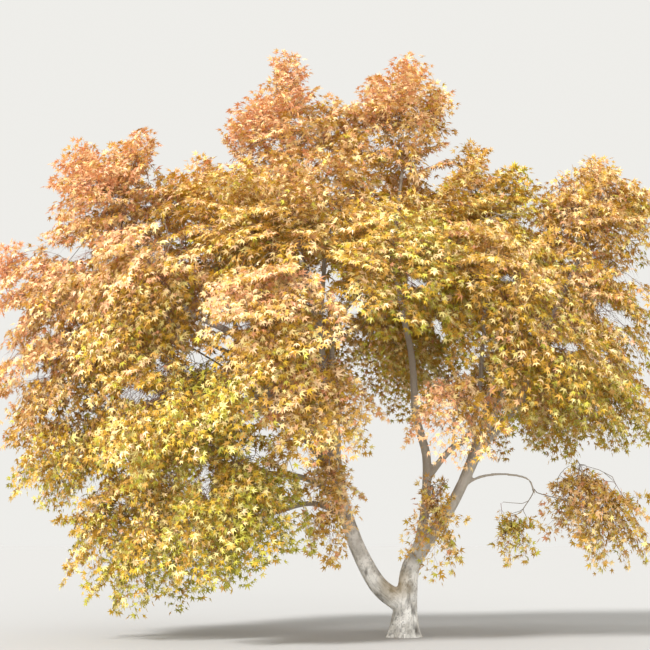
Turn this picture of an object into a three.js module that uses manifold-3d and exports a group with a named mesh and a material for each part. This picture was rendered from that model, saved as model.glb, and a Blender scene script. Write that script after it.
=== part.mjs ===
// A japanese maple in autumn colour: a short trunk that flares at the foot and forks low, long
// tapering boughs, and the masses of leaves that they carry.
// Millimetres, +Z up, -Y towards the side that is seen first. The origin is the middle of the
// trunk's flat cut at ground level.
import * as THREE from "three";
import Module from "manifold-3d";

const wasm = await Module();
wasm.setup();

const joinGap = 0.3; // between a limb and what it grows from
const keepClear = 3; // a twig or a leaf stays this far from limbs and from the next mass
const leastDetail = { limb: 0.1, mass: 1 }; // slivers that a cut or a join leaves are closed up
const barkColour = "#b9b1a4";

const trunkForm = {
  line: [[0, 0, 0], [0, 0, 90], [30, 0, 370], [62, 0, 640], [125, 0, 770], [190, 0, 870]],
  radius: [150, 84],
  taper: 2,
  sides: 16,
  spacing: 95,
};
const rootFlare = { lobes: 5, depth: 0.3, height: 85, turn: 0.6 };

// Each bough starts on the middle line of the one that it grows from, at a share of its length,
// and runs through the points named here. Its radius goes evenly from the first to the last.
const boughForms = [
  {
    name: "left_stem", from: "trunk", along: 0.33, radius: [90, 58],
    through: [[-240, 0, 490], [-440, 15, 840], [-560, 35, 1180], [-640, 50, 1570], [-670, 60, 1800]],
  },
  {
    name: "centre_bough", from: "trunk", along: 0.9, radius: [52, 18],
    through: [
      [215, 25, 1200], [235, 80, 1710], [140, 85, 2150],
      [100, 40, 2700], [-70, 0, 3700], [20, 40, 4600],
    ],
  },
  {
    name: "right_bough", from: "trunk", along: 0.92, radius: [64, 24],
    through: [
      [370, 0, 1090], [600, 0, 1500], [760, 0, 1810],
      [1100, 0, 2210], [1420, 0, 2950], [1740, 0, 3620],
    ],
  },
  {
    name: "left_leader", from: "left_stem", along: 0.93, radius: [46, 20],
    through: [[-650, 90, 2000], [-720, 110, 2400], [-850, 120, 3050], [-1020, 80, 3850], [-1100, 20, 4520]],
  },
  {
    name: "left_bough", from: "left_stem", along: 0.86, radius: [56, 22],
    through: [[-900, 20, 2020], [-1270, -20, 2320], [-1620, -20, 2890], [-2120, 0, 3180], [-2560, 0, 3720]],
  },
  {
    name: "forked_bough", from: "centre_bough", along: 0.19, radius: [34, 18],
    through: [[470, 25, 1800], [650, 0, 1930], [735, -10, 2250], [800, 0, 2800], [850, 0, 3520]],
  },
  {
    name: "middle_left_bough", from: "left_bough", along: 0.24, radius: [32, 24],
    through: [[-1500, 20, 2270], [-2200, 30, 2340], [-2820, 0, 2120]],
  },
  {
    name: "far_left_bough", from: "left_bough", along: 0.72, radius: [26, 18],
    through: [[-2450, -20, 3190], [-2900, 0, 3230]],
  },
  {
    name: "upper_left_bough", from: "left_bough", along: 0.56, radius: [26, 18],
    through: [[-1690, 20, 3150], [-1790, 40, 3480]],
  },
  {
    name: "low_left_bough", from: "left_stem", along: 0.6, radius: [32, 20],
    through: [[-860, -20, 1270], [-1350, -80, 1160], [-1830, -100, 1110]],
  },
  {
    name: "front_left_bough", from: "left_bough", along: 0.45, radius: [30, 20],
    through: [[-1680, -450, 2690], [-2020, -950, 2800]],
  },
  {
    name: "front_low_left_bough", from: "left_stem", along: 0.72, radius: [34, 24],
    through: [[-950, -380, 1500], [-1430, -900, 1540]],
  },
  {
    name: "front_centre_bough", from: "left_stem", along: 0.95, radius: [40, 24],
    through: [[-690, -350, 2200], [-700, -930, 2800]],
  },
  {
    name: "left_front_shoot", from: "left_stem", along: 0.87, radius: [24, 20],
    through: [[-700, -220, 1740], [-720, -460, 1800]],
  },
  {
    name: "back_left_bough", from: "left_stem", along: 0.8, radius: [40, 24],
    through: [[-980, 450, 1950], [-1800, 1100, 2700]],
  },
  {
    name: "back_centre_bough", from: "left_leader", along: 0.22, radius: [32, 24],
    through: [[-880, 480, 2850], [-1150, 930, 3480]],
  },
  {
    name: "inner_leader", from: "left_leader", along: 0.42, radius: [28, 24],
    through: [[-790, -60, 3300], [-760, -260, 3680]],
  },
  {
    name: "back_top_bough", from: "centre_bough", along: 0.56, radius: [26, 24],
    through: [[60, 380, 3300], [90, 740, 3650]],
  },
  {
    name: "front_right_shoot", from: "forked_bough", along: 0.18, radius: [20, 16],
    through: [[480, -260, 1940], [450, -600, 2060]],
  },
  {
    name: "centre_shoot", from: "centre_bough", along: 0.13, radius: [18, 14],
    through: [[238, -80, 1370], [262, -170, 1420]],
  },
  {
    name: "inner_right_bough", from: "right_bough", along: 0.36, radius: [34, 24],
    through: [[900, -280, 2180], [1040, -700, 2620]],
  },
  {
    name: "far_right_bough", from: "right_bough", along: 0.53, radius: [24, 18],
    through: [[1300, 20, 2330], [1480, 0, 2340]],
  },
  {
    name: "low_right_bough", from: "right_bough", along: 0.23, radius: [22, 18],
    through: [[760, -20, 1530], [1020, -40, 1550], [1220, -50, 1500], [1260, -60, 1410]],
  },
  {
    name: "back_right_bough", from: "right_bough", along: 0.22, radius: [40, 24],
    through: [[760, 420, 1900], [1130, 1030, 2950]],
  },
];
const boughMesh = { sides: 6, spacing: 380 };

// Autumn tints, from the sunlit tips to the shaded skirt.
const leafColour = { coral: "#dd7a4f", amber: "#df9a3f", gold: "#dcae43", olive: "#bcae3c" };

// The crown's masses of leaves: the bough that carries each, its middle, and how far it reaches
// from there along X, Y and Z.
const massForms = [
  {
    name: "top_left_leaves", on: "left_leader", tint: "coral",
    at: [-1130, 50, 5070], reach: [630, 750, 790],
  },
  {
    name: "top_right_leaves", on: "centre_bough", tint: "coral",
    at: [-20, 100, 5060], reach: [580, 750, 800],
  },
  {
    name: "high_centre_leaves", on: "inner_leader", tint: "amber",
    at: [-620, -50, 4350], reach: [800, 800, 700],
  },
  {
    name: "upper_left_leaves", on: "left_bough", tint: "coral",
    at: [-2830, 0, 4220], reach: [830, 850, 740],
  },
  {
    name: "inner_left_leaves", on: "upper_left_bough", tint: "amber",
    at: [-1900, 0, 4000], reach: [760, 900, 720],
  },
  {
    name: "far_left_leaves", on: "far_left_bough", tint: "coral",
    at: [-3380, 0, 3230], reach: [740, 900, 620],
  },
  {
    name: "middle_left_leaves", on: "middle_left_bough", tint: "amber",
    at: [-3330, 0, 2520], reach: [780, 900, 600],
  },
  {
    name: "low_left_leaves", on: "middle_left_bough", tint: "gold",
    at: [-3120, -50, 1830], reach: [760, 800, 500],
  },
  {
    name: "lowest_left_leaves", on: "low_left_bough", tint: "olive",
    at: [-2500, -100, 1020], reach: [920, 850, 620],
  },
  {
    name: "right_shoulder_leaves", on: "forked_bough", tint: "gold",
    at: [780, 0, 4050], reach: [760, 900, 800],
  },
  {
    name: "upper_right_leaves", on: "right_bough", tint: "amber",
    at: [1940, 0, 4020], reach: [650, 850, 740],
  },
  {
    name: "far_right_leaves", on: "right_bough", tint: "amber",
    at: [1900, 0, 3150], reach: [660, 900, 640],
  },
  {
    name: "middle_right_leaves", on: "far_right_bough", tint: "gold",
    at: [1780, 0, 2330], reach: [700, 850, 520],
  },
  {
    name: "lowest_right_leaves", on: "low_right_bough", tint: "amber",
    at: [1880, 0, 1220], reach: [540, 600, 500],
  },
  {
    name: "low_right_cluster", on: "low_right_bough", tint: "gold",
    at: [1060, -50, 1060], reach: [240, 300, 270],
  },
  {
    name: "front_left_leaves", on: "front_left_bough", tint: "amber",
    at: [-2450, -1150, 3150], reach: [880, 900, 720],
  },
  {
    name: "front_low_left_leaves", on: "front_low_left_bough", tint: "gold",
    at: [-2150, -1250, 2050], reach: [880, 900, 600],
  },
  {
    name: "front_left_skirt", on: "front_low_left_bough", tint: "olive",
    at: [-1500, -1050, 1180], reach: [800, 850, 560],
  },
  {
    name: "front_inner_left_leaves", on: "front_centre_bough", tint: "amber",
    at: [-1250, -1350, 2850], reach: [780, 850, 720],
  },
  {
    name: "front_high_leaves", on: "inner_leader", tint: "amber",
    at: [-1300, -1000, 3850], reach: [820, 850, 720],
  },
  {
    name: "front_centre_leaves", on: "front_centre_bough", tint: "gold",
    at: [-150, -1200, 3500], reach: [800, 900, 720],
  },
  {
    name: "front_right_leaves", on: "inner_right_bough", tint: "gold",
    at: [900, -1150, 3250], reach: [780, 900, 720],
  },
  {
    name: "front_low_right_leaves", on: "inner_right_bough", tint: "gold",
    at: [1350, -1050, 2450], reach: [720, 850, 500],
  },
  {
    name: "front_low_centre_leaves", on: "front_right_shoot", tint: "coral",
    at: [480, -1000, 2150], reach: [480, 550, 380],
  },
  {
    name: "front_low_inner_leaves", on: "left_front_shoot", tint: "amber",
    at: [-850, -1150, 2150], reach: [560, 700, 500],
  },
  {
    name: "left_stem_spray", on: "left_front_shoot", tint: "amber",
    at: [-720, -350, 1330], reach: [450, 360, 500],
  },
  {
    name: "trunk_spray", on: "centre_shoot", tint: "amber",
    at: [290, -340, 1150], reach: [270, 280, 500],
  },
  {
    name: "back_left_leaves", on: "back_left_bough", tint: "amber",
    at: [-2750, 1150, 3300], reach: [900, 950, 760],
  },
  {
    name: "back_low_left_leaves", on: "back_left_bough", tint: "gold",
    at: [-2400, 1200, 2150], reach: [900, 950, 680],
  },
  {
    name: "back_inner_leaves", on: "back_centre_bough", tint: "gold",
    at: [-1200, 1350, 2950], reach: [850, 900, 720],
  },
  {
    name: "back_top_left_leaves", on: "back_centre_bough", tint: "coral",
    at: [-1450, 1050, 4200], reach: [850, 950, 780],
  },
  {
    name: "back_top_right_leaves", on: "back_top_bough", tint: "amber",
    at: [0, 1100, 4250], reach: [850, 950, 780],
  },
  {
    name: "back_centre_leaves", on: "back_top_bough", tint: "gold",
    at: [150, 1350, 3100], reach: [780, 850, 650],
  },
  {
    name: "back_right_leaves", on: "back_right_bough", tint: "amber",
    at: [1300, 1150, 3700], reach: [850, 950, 760],
  },
  {
    name: "back_low_right_leaves", on: "back_right_bough", tint: "gold",
    at: [1450, 1150, 2500], reach: [820, 900, 620],
  },
];

const crownMiddle = [-760, 0, 2700]; // the masses face outwards from here

// How a mass grows: sprays spread evenly through its space, each joined to the nearest twig.
const growth = {
  spraySpacing: 930, // sets how many sprays a mass gets
  fewestSprays: 8,
  sprayReach: 0.78, // share of the mass's reach that the middles of its leaves keep to
  wallMargin: 60, // from a leaf's middle to the next mass's space
  candidates: 12, // points tried for each spray, of which the loneliest is kept
  stemShare: 0.6, // how far the stem runs from the bough's tip towards the middle
  stemThickness: 0.9, // of the tip's radius, where the mass has the tip to itself
  sharedThickness: 0.42, // where two masses share it
  twigThinning: 0.78, // from a twig's start to its end
  branchThinning: 0.6, // from a twig to one that grows out of it
  leastTwig: 6,
  stemSockets: [0.98, 0.86, 0.74, 0.62, 0.5], // where sprigs may start along a stem
  twigSockets: [0.85, 0.6, 0.35], // and along a twig
  socketTries: 6,
  sharpestTurn: -0.1, // least cosine between a twig and its leaf
};

// A leaf stands for a spray of real ones: three lobes, thickest in the middle.
const leafForm = {
  length: 680,
  shareOfReach: 1, // and no longer than this share of its mass's least reach
  sizes: [1, 0.88, 0.76, 0.64, 0.52], // tried in turn, until one fits the space
  turns: 24, // seeded directions tried at each size
  sideLobe: [0.48, 0.56],
  notch: [0.54, 0.2],
  middle: 0.42,
  thickness: 0.04, // of its length
  droop: 0.85, // less in the masses that face up
  scatter: 0.9,
  mostRoll: 1.1, // radians that a blade may turn about its length, from level
};

// The first leaves of a mass point straight out and touch its limits, so that it keeps its outline:
// one out of the crown, and one tilted up and one down from there.
const leadTilts = [0, 0.9, -0.9];
const leadReach = 0.985;
const leadRoll = 0.85;

const point = ([x, y, z]) => new THREE.Vector3(x, y, z);

// Seeded random numbers from 0 to 1, the same on every run (a 32-bit counter, mixed twice).
function seededRandom(seed) {
  let state = seed >>> 0;
  return () => {
    state = (state + 0x6d2b79f5) >>> 0;
    let mixed = Math.imul(state ^ (state >>> 15), state | 1);
    mixed ^= mixed + Math.imul(mixed ^ (mixed >>> 7), mixed | 61);
    return ((mixed ^ (mixed >>> 14)) >>> 0) / 2 ** 32;
  };
}

function solidFrom(points, faces) {
  return new wasm.Manifold(
    new wasm.Mesh({
      numProp: 3,
      vertProperties: new Float32Array(points.flatMap(({ x, y, z }) => [x, y, z])),
      triVerts: new Uint32Array(faces.flat()),
    }),
  );
}

// A closed tube through rings of points: walls between neighbours, and a flat fan at each end.
function loft(rings) {
  const sides = rings[0].length;
  const last = (rings.length - 1) * sides;
  const faces = [];
  for (let start = 0; start < last; start += sides) {
    for (let s = 0; s < sides; s++) {
      const a = start + s;
      const b = start + ((s + 1) % sides);
      faces.push([a, b, b + sides], [a, b + sides, a + sides]);
    }
  }
  for (let s = 1; s + 1 < sides; s++) {
    faces.push([0, s + 1, s], [last, last + s, last + s + 1]);
  }
  return solidFrom(rings.flat(), faces);
}

// The rings of a limb along its middle line. extra makes it fatter and longer all round.
function limbRings(limb, extra) {
  const segments = Math.max(2, Math.round(limb.curve.getLength() / limb.spacing));
  const { tangents, normals, binormals } = limb.curve.computeFrenetFrames(segments, false);
  const spread = extra / Math.cos(Math.PI / limb.sides);
  const rings = [];
  for (let i = 0; i <= segments; i++) {
    const middle = limb.curve.getPointAt(i / segments);
    if (i === 0) middle.addScaledVector(tangents[0], -extra);
    if (i === segments) middle.addScaledVector(tangents[i], extra);
    const ring = [];
    for (let s = 0; s < limb.sides; s++) {
      const angle = (2 * Math.PI * s) / limb.sides;
      const radius = limb.radiusAt(i / segments, angle, middle.z) + spread;
      ring.push(
        middle
          .clone()
          .addScaledVector(normals[i], radius * Math.cos(angle))
          .addScaledVector(binormals[i], radius * Math.sin(angle)),
      );
    }
    rings.push(ring);
  }
  return rings;
}

const limbSolid = (limb, extra = 0) => loft(limbRings(limb, extra));

// The root flare swells the trunk in lobes that fade a little way up.
function flareAt(angle, height) {
  const lobe = 0.5 + 0.5 * Math.cos(rootFlare.lobes * angle + rootFlare.turn);
  return 1 + rootFlare.depth * lobe * Math.exp(-height / rootFlare.height);
}

function makeTrunk() {
  const curve = new THREE.CatmullRomCurve3(trunkForm.line.map(point));
  const [foot, fork] = trunkForm.radius;
  return {
    name: "trunk",
    curve,
    sides: trunkForm.sides,
    spacing: trunkForm.spacing,
    radiusAt: (share, angle, height) =>
      (fork + (foot - fork) * (1 - share) ** trunkForm.taper) * flareAt(angle, Math.max(0, height)),
  };
}

function makeBough(form, limbs) {
  const start = limbs.find((limb) => limb.name === form.from).curve.getPointAt(form.along);
  const [base, end] = form.radius;
  return {
    name: form.name,
    curve: new THREE.CatmullRomCurve3([start, ...form.through.map(point)]),
    tipRadius: end,
    ...boughMesh,
    radiusAt: (share) => base + (end - base) * share,
  };
}

function boxesMeet(a, b) {
  const first = a.boundingBox();
  const second = b.boundingBox();
  return [0, 1, 2].every((k) => first.min[k] <= second.max[k] && second.min[k] <= first.max[k]);
}

// The largest body of a solid, so loose scraps go and sealed hollows are filled, with the
// slivers that cuts and joins leave closed up.
function mainBody(solid, detail) {
  const bodies = solid.simplify(detail).decompose();
  return bodies.reduce((largest, body) => (body.volume() > largest.volume() ? body : largest));
}

// Every limb is cut clear of the ones before it, so that it starts on their bark.
function cutLimbs(limbs) {
  limbs.forEach((limb, index) => {
    limb.fat = limbSolid(limb, joinGap);
    let body = limbSolid(limb);
    for (const earlier of limbs.slice(0, index)) {
      if (boxesMeet(body, earlier.fat)) body = body.subtract(earlier.fat);
    }
    limb.solid = mainBody(body, leastDetail.limb);
  });
}

// Where two masses would meet, a flat wall between them shares the room by their reach.
function shareRoom(masses) {
  masses.forEach((a, index) => {
    for (const b of masses.slice(index + 1)) {
      const across = b.middle.clone().sub(a.middle);
      const apart = across.length();
      across.normalize();
      const reachA = across.clone().multiply(a.reach).length();
      const reachB = across.clone().multiply(b.reach).length();
      if (reachA + reachB < apart) continue;
      const onWall = a.middle.clone().addScaledVector(across, (apart * reachA) / (reachA + reachB));
      b.walls.push(new THREE.Plane().setFromNormalAndCoplanarPoint(across, onWall));
      a.walls.push(new THREE.Plane().setFromNormalAndCoplanarPoint(across.clone().negate(), onWall));
    }
  });
}

function inSpace(mass, place, margin = keepClear) {
  const off = place.clone().sub(mass.middle).divide(mass.reach);
  return off.length() <= 1 && mass.walls.every((wall) => wall.distanceToPoint(place) > margin);
}

// The stem stands on the flat tip of its bough, runs straight off it, and turns to the middle.
// Two masses on one bough set their stems side by side on its tip.
function makeStem(mass, masses, limbs) {
  const bough = limbs.find((limb) => limb.name === mass.on);
  const tip = bough.curve.getPointAt(1);
  const heading = bough.curve.getTangentAt(1);
  const neighbour = masses.find((other) => other !== mass && other.on === mass.on);
  const side = new THREE.Vector3();
  if (neighbour) {
    side.copy(mass.middle).sub(neighbour.middle);
    side.addScaledVector(heading, -side.dot(heading)).setLength(bough.tipRadius / 2);
  }
  const start = tip.addScaledVector(heading, joinGap).add(side);
  const elbow = start.clone().addScaledVector(heading, 2 * bough.tipRadius);
  const end = elbow.clone().lerp(mass.middle, growth.stemShare);
  const thickness = neighbour ? growth.sharedThickness : growth.stemThickness;
  const radius = bough.tipRadius * thickness;
  return {
    curve: new THREE.CatmullRomCurve3([start, elbow, end]),
    sides: 3,
    spacing: 190,
    end,
    radius,
    radiusAt: (share) => radius * (1 - share * (1 - growth.twigThinning)),
  };
}

// A seeded point in a mass's space, well inside its walls.
function pointInSpace(mass, random) {
  for (;;) {
    const off = new THREE.Vector3(2 * random() - 1, 2 * random() - 1, 2 * random() - 1);
    if (off.length() > 1) continue;
    const place = off.multiplyScalar(growth.sprayReach).multiply(mass.reach).add(mass.middle);
    if (inSpace(mass, place, growth.wallMargin)) return place;
  }
}

// Evenly spread points: each is the loneliest of a few, so a longer list starts with the same ones.
function sprayPoints(mass, count, random) {
  const taken = [mass.stem.end];
  while (taken.length <= count) {
    let lonely = null;
    let lonelyGap = -1;
    for (let c = 0; c < growth.candidates; c++) {
      const place = pointInSpace(mass, random);
      const gap = Math.min(...taken.map((other) => other.distanceTo(place)));
      if (gap > lonelyGap) {
        lonely = place;
        lonelyGap = gap;
      }
    }
    taken.push(lonely);
  }
  return taken.slice(1);
}

// The outline of a leaf from its right lobe round to its left, then the two faces' middles.
function bladePoints({ foot, along, across, length }) {
  const up = new THREE.Vector3().crossVectors(along, across);
  const at = (u, v, w) =>
    foot
      .clone()
      .addScaledVector(along, u * length)
      .addScaledVector(across, v * length)
      .addScaledVector(up, w * length);
  const { sideLobe, notch, middle, thickness } = leafForm;
  return [
    at(sideLobe[0], -sideLobe[1], 0),
    at(notch[0], -notch[1], 0),
    at(1, 0, 0),
    at(notch[0], notch[1], 0),
    at(sideLobe[0], sideLobe[1], 0),
    at(middle, 0, thickness / 2),
    at(middle, 0, -thickness / 2),
  ];
}

// Faces from a rim to a point over it and a point under it.
function bladeFaces(upperRim, lowerRim, over, under) {
  const edges = (rim) => rim.map((corner, i) => [corner, rim[(i + 1) % rim.length]]);
  return [
    ...edges(upperRim).map(([a, b]) => [a, b, over]),
    ...edges(lowerRim).map(([a, b]) => [b, a, under]),
  ];
}

// Three corners of a twig about a place: left, right and the keel, square to its heading.
function twigCorners(place, heading, across, radius) {
  const level = across.clone().addScaledVector(heading, -across.dot(heading)).normalize();
  const up = new THREE.Vector3().crossVectors(heading, level);
  return [
    place.clone().addScaledVector(level, radius),
    place.clone().addScaledVector(level, -radius),
    place.clone().addScaledVector(up, -radius),
  ];
}

// A sprig is a twig and its leaf in one closed skin.
function sprigSolid(start, leaf, radius) {
  const heading = leaf.foot.clone().sub(start).normalize();
  const bend = heading.clone().add(leaf.along).normalize();
  const points = [
    ...twigCorners(start, heading, leaf.across, radius),
    ...twigCorners(leaf.foot, bend, leaf.across, radius * growth.twigThinning),
    ...bladePoints(leaf),
  ];
  const faces = [[0, 2, 1]];
  for (const [a, b] of [[0, 1], [1, 2], [2, 0]]) faces.push([a, b, b + 3], [a, b + 3, a + 3]);
  const rim = [6, 7, 8, 9, 10];
  faces.push(...bladeFaces([4, ...rim, 3], [4, ...rim, 3, 5], 11, 12));
  return solidFrom(points, faces);
}

// The places along a twig, on its middle line, that later sprigs may start from.
function socketsAlong(curve, shares, radius) {
  return shares.map((share) => ({
    place: curve.getPointAt(share),
    radius: Math.max(growth.leastTwig, radius * growth.branchThinning),
  }));
}

// A direction for a leaf: part way out of its mass and the crown, drooping at the sides of the
// crown and standing up at its top, with a seeded scatter.
function leafDirection(mass, middle, random) {
  const droop = leafForm.droop * (1 - Math.max(0, mass.outward.z));
  const along = middle.clone().sub(mass.middle).divide(mass.reach);
  along.addScaledVector(mass.outward, random());
  along.x += leafForm.scatter * (random() - 0.5);
  along.y += leafForm.scatter * (random() - 0.5);
  along.z -= droop + leafForm.scatter * (random() - 0.5);
  return along.normalize();
}

// Across a blade: level, then rolled about the blade's length.
function bladeAcross(along, roll) {
  const level = new THREE.Vector3(-along.y, along.x, 0).normalize();
  return level.applyAxisAngle(along, roll);
}

// A leaf about a spray's point.
function makeLeaf(mass, middle, length, random) {
  const along = leafDirection(mass, middle, random);
  const across = bladeAcross(along, leafForm.mostRoll * (2 * random() - 1));
  return { along, across, length, foot: middle.clone().addScaledVector(along, -leafForm.middle * length) };
}

const meets = (solid) => (other) => boxesMeet(solid, other) && solid.intersect(other).volume() > 0;

// A leaf's twig starts at the nearest free socket from which it touches only its own parent.
function fitSprig(tree, leaf) {
  const nearest = [...tree.sockets].sort(
    (a, b) => a.place.distanceTo(leaf.foot) - b.place.distanceTo(leaf.foot),
  );
  for (const socket of nearest.slice(0, growth.socketTries)) {
    const heading = leaf.foot.clone().sub(socket.place).normalize();
    if (heading.dot(leaf.along) < growth.sharpestTurn) continue;
    const solid = sprigSolid(socket.place, leaf, socket.radius);
    const strangers = tree.pieces.filter((piece) => piece !== socket.owner);
    if ([...tree.obstacles, ...strangers].some(meets(solid))) continue;
    return { socket, solid, twig: new THREE.LineCurve3(socket.place, leaf.foot) };
  }
  return null;
}

// A leaf whose tip touches the mass's limits, out of the crown and tilted up or down.
function leadLeaf(mass, tilt, length) {
  const along = mass.outward.clone();
  along.z += tilt;
  along.normalize();
  const toLimit = leadReach / along.clone().divide(mass.reach).length();
  const foot = mass.middle.clone().addScaledVector(along, toLimit - length);
  const across = bladeAcross(along, tilt < 0 ? -leadRoll : leadRoll);
  return { along, across, length, foot };
}

// The first leaf proposed that keeps to the mass's space and clear of everything, tried at full
// size and then smaller, each time in several directions.
function fitSpray(mass, propose, tree) {
  const most = Math.min(leafForm.length, leafForm.shareOfReach * Math.min(...mass.reach.toArray()));
  for (const size of leafForm.sizes) {
    for (let turn = 0; turn < leafForm.turns; turn++) {
      const leaf = propose(most * size);
      const corners = bladePoints(leaf);
      if (![leaf.foot, ...corners].every((corner) => inSpace(mass, corner))) continue;
      const rim = [0, 1, 2, 3, 4];
      const blade = solidFrom(corners, bladeFaces(rim, rim, 5, 6));
      if ([...tree.obstacles, ...tree.pieces].some(meets(blade))) continue;
      const sprig = fitSprig(tree, leaf);
      if (sprig) return sprig;
    }
  }
  return null;
}

function sprayCount(mass) {
  const surface = 4 * Math.PI * Math.pow(mass.reach.x * mass.reach.y * mass.reach.z, 2 / 3);
  return Math.max(growth.fewestSprays, Math.round(surface / growth.spraySpacing ** 2)) - leadTilts.length;
}

// Grows one mass: its stem, then sprays from the stem outwards. A spray that would leave the
// space or touch a limb is skipped.
function growMass(mass, seed, obstacles) {
  const random = seededRandom(seed);
  const tree = { obstacles, pieces: [], sockets: [] };
  const addPiece = (solid, curve, shares, radius) => {
    tree.pieces.push(solid);
    tree.sockets.push(...socketsAlong(curve, shares, radius).map((socket) => ({ ...socket, owner: solid })));
  };
  addPiece(limbSolid(mass.stem), mass.stem.curve, growth.stemSockets, mass.stem.radius);
  const middles = sprayPoints(mass, sprayCount(mass), random);
  middles.sort((a, b) => a.distanceTo(mass.stem.end) - b.distanceTo(mass.stem.end));
  const proposals = [
    ...leadTilts.map((tilt) => (length) => leadLeaf(mass, tilt, length)),
    ...middles.map((middle) => (length) => makeLeaf(mass, middle, length, random)),
  ];
  for (const propose of proposals) {
    const sprig = fitSpray(mass, propose, tree);
    if (!sprig) continue;
    tree.sockets.splice(tree.sockets.indexOf(sprig.socket), 1);
    addPiece(sprig.solid, sprig.twig, growth.twigSockets, sprig.socket.radius);
  }
  return mainBody(wasm.Manifold.union(tree.pieces), leastDetail.mass);
}

function makeMasses(limbs) {
  const masses = massForms.map((form) => ({
    ...form,
    middle: point(form.at),
    reach: point(form.reach),
    outward: point(form.at).sub(point(crownMiddle)).normalize(),
    walls: [],
  }));
  shareRoom(masses);
  for (const mass of masses) mass.stem = makeStem(mass, masses, limbs);
  const limbObstacles = limbs.map((limb) => limbSolid(limb, keepClear));
  const stemObstacles = masses.map((mass) => limbSolid(mass.stem, keepClear));
  masses.forEach((mass, index) => {
    const others = stemObstacles.filter((_, other) => other !== index);
    mass.solid = growMass(mass, index + 1, [...limbObstacles, ...others]);
  });
  return masses;
}

// A solid as a named mesh with flat faces.
function asMesh(name, solid, colour, roughness) {
  const { vertProperties, triVerts, numProp } = solid.getMesh();
  const places = new Float32Array((vertProperties.length / numProp) * 3);
  for (let i = 0; i * 3 < places.length; i++) {
    places.set(vertProperties.subarray(i * numProp, i * numProp + 3), i * 3);
  }
  const geometry = new THREE.BufferGeometry();
  geometry.setAttribute("position", new THREE.BufferAttribute(places, 3));
  geometry.setIndex(new THREE.BufferAttribute(new Uint32Array(triVerts), 1));
  geometry.computeVertexNormals();
  const finish = { color: colour, roughness, metalness: 0, flatShading: true };
  const mesh = new THREE.Mesh(geometry, new THREE.MeshStandardMaterial(finish));
  mesh.name = name;
  return mesh;
}

const limbs = [makeTrunk()];
for (const form of boughForms) limbs.push(makeBough(form, limbs));
cutLimbs(limbs);
const masses = makeMasses(limbs);

const tree = new THREE.Group();
for (const limb of limbs) tree.add(asMesh(limb.name, limb.solid, barkColour, 0.9));
for (const mass of masses) tree.add(asMesh(mass.name, mass.solid, leafColour[mass.tint], 0.6));

export default tree;
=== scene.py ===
import math

import bpy
import numpy as np
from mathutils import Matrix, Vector, kdtree, noise
from numpy.linalg import norm


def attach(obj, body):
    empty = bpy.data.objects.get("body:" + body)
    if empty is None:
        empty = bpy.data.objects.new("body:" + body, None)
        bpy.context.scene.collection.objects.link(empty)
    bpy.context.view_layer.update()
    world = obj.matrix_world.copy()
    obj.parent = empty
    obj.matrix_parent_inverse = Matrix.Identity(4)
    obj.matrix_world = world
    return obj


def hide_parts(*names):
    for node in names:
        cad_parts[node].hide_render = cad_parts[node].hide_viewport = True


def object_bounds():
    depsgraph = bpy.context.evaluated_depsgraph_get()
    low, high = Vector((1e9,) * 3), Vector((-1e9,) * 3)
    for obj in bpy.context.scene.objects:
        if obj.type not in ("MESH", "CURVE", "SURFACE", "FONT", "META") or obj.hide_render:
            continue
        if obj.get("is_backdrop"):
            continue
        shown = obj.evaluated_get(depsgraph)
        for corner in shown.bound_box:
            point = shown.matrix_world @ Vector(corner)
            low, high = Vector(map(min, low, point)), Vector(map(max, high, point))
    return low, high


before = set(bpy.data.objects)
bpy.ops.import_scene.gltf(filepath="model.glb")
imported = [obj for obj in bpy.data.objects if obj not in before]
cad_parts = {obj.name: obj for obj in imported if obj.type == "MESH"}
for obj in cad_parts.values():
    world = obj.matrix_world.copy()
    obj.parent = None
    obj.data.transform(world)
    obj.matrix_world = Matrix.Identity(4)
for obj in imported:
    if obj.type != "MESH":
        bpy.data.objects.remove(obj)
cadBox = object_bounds()

# A japanese maple in autumn: the trunk and boughs under one skin of bark, and masses of leaves
# grown spray by spray from the tips of the boughs. Limb and crown sizes are in millimetres, as in
# the part's own source, and everything made from them is in metres.

mm = 0.001
noiseSeed = 4  # without one, noise_vector would differ from run to run
noise.seed_set(noiseSeed)


# Colours, nodes and small helpers

def toLinear(hexColour):
    channels = [int(hexColour[i:i + 2], 16) / 255 for i in (1, 3, 5)]
    return [c / 12.92 if c <= 0.04045 else ((c + 0.055) / 1.055) ** 2.4 for c in channels] + [1.0]


def addNode(tree, kind, settings=None, links=None):
    node = tree.nodes.new(kind)
    for name, value in (settings or {}).items():
        if name in node.bl_rna.properties:
            setattr(node, name, value)
        else:
            node.inputs[name].default_value = value
    for name, source in (links or {}).items():
        tree.links.new(source, node.inputs[name])
    return node


def newMaterial(name, hexColour, roughness, specular=0.5):
    material = bpy.data.materials.new(name)
    material.use_nodes = True
    sockets = material.node_tree.nodes["Principled BSDF"].inputs
    sockets["Base Color"].default_value = toLinear(hexColour)
    sockets["Roughness"].default_value = roughness
    sockets["Specular IOR Level"].default_value = specular
    return material


def deselectAll():
    bpy.ops.object.select_all(action="DESELECT")


def pickOnly(piece):
    deselectAll()
    piece.select_set(True)
    bpy.context.view_layer.objects.active = piece


def unit(vectors):
    return vectors / np.maximum(norm(vectors, axis=-1, keepdims=True), 1e-9)


# Camera: the photograph is taken from about 14 m away, from low down, looking up a little.

camera = {"place": (-0.76, -14.0, 0.9), "tiltUp": 8.645, "lens": 79.1, "sensor": 36.0, "farClip": 500}

bpy.ops.object.camera_add(
    location=camera["place"], rotation=(math.radians(90 + camera["tiltUp"]), 0, 0)
)
eye = bpy.context.object
eye.name = "photo_camera"
eye.data.lens = camera["lens"]
eye.data.sensor_width = camera["sensor"]
eye.data.clip_end = camera["farClip"]
bpy.context.scene.camera = eye


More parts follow.
